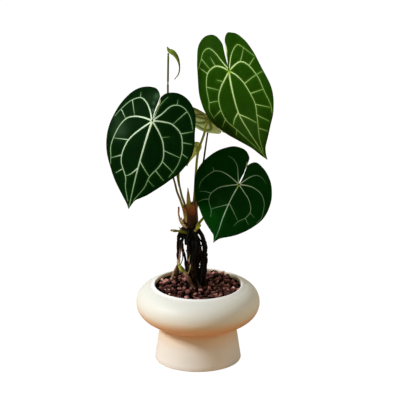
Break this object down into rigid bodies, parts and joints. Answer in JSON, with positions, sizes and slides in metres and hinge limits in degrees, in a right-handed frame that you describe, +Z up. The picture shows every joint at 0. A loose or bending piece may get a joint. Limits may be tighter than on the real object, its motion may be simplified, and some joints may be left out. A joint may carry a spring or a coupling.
{
  "type": "potted anthurium",
  "caption": "Anthurium crystallinum with velvety heart-shaped leaves, white veins and bare aerial roots, growing in lava grit in a round cream pedestal pot.",
  "frame": {"origin": "centre of the pot's flat underside", "axes": "+Z up along the pot's axis, -Y to the front that the leaves face, +X to the right as seen from the front"},
  "size_m": [0.2412, 0.1921, 0.5108],
  "materials": {
    "ceramic": "satin",
    "lava": "matte",
    "stem": "matte",
    "sheath": "matte",
    "petiole": "satin",
    "blade": "satin",
    "blade_underside": "matte",
    "young_blade": "satin"
  },
  "bodies": {
    "root": {"pot": "ceramic", "lava_grit": "lava", "stem_and_roots": "stem", "sheath_spike": "sheath", "sheath_right": "sheath", "sheath_front": "sheath", "sheath_front_left": "sheath", "sheath_back": "sheath", "petiole_left": "petiole", "petiole_upper_right": "petiole", "petiole_lower_right": "petiole", "petiole_back_upper": "petiole", "petiole_back_lower": "petiole", "petiole_new": "petiole", "blade_left": "blade", "blade_upper_right": "blade", "blade_lower_right": "blade", "blade_back_upper": "blade_underside", "blade_back_lower": "blade_underside", "blade_new": "young_blade"}
  },
  "joints": []
}
